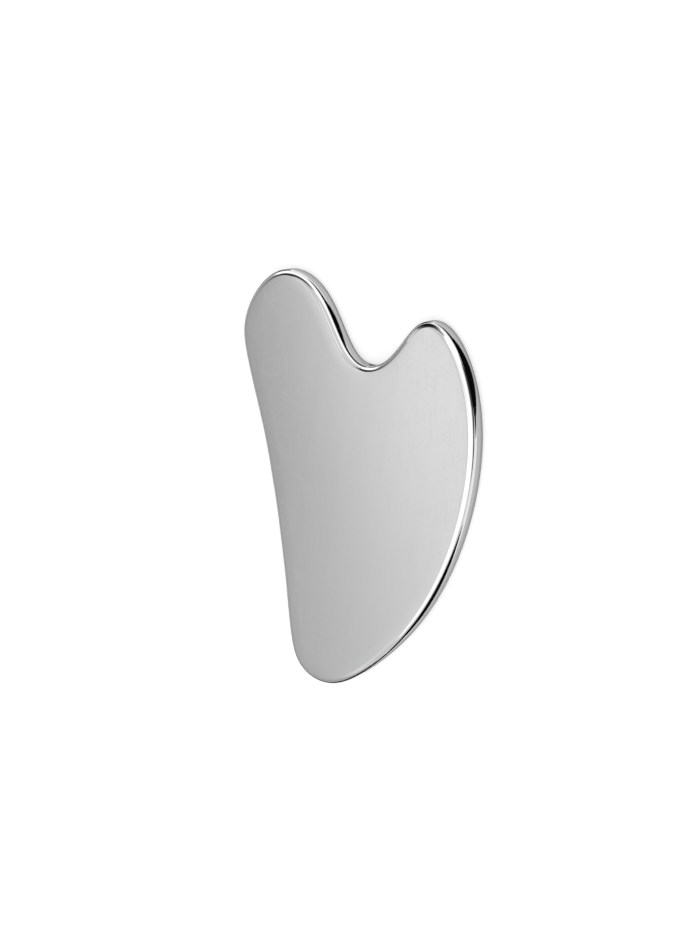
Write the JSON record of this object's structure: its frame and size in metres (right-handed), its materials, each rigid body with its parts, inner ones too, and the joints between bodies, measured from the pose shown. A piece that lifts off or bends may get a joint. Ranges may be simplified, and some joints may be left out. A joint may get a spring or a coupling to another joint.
{
  "type": "gua sha scraper",
  "caption": "Flat polished steel gua sha massage plate with an uneven heart outline: a large lobe, a small lobe, a notch between them, a long blunt tip and rounded rims.",
  "frame": {"origin": "on the back face, under the middle of the plate's bounding box", "axes": "+X across the plate towards the full round side and the small lobe, +Y along the plate towards the lobes, +Z out of the front face"},
  "size_m": [0.055, 0.09, 0.0045],
  "materials": {
    "polished_steel": "polished"
  },
  "bodies": {
    "root": {"scraper_plate": "polished_steel"}
  },
  "joints": []
}
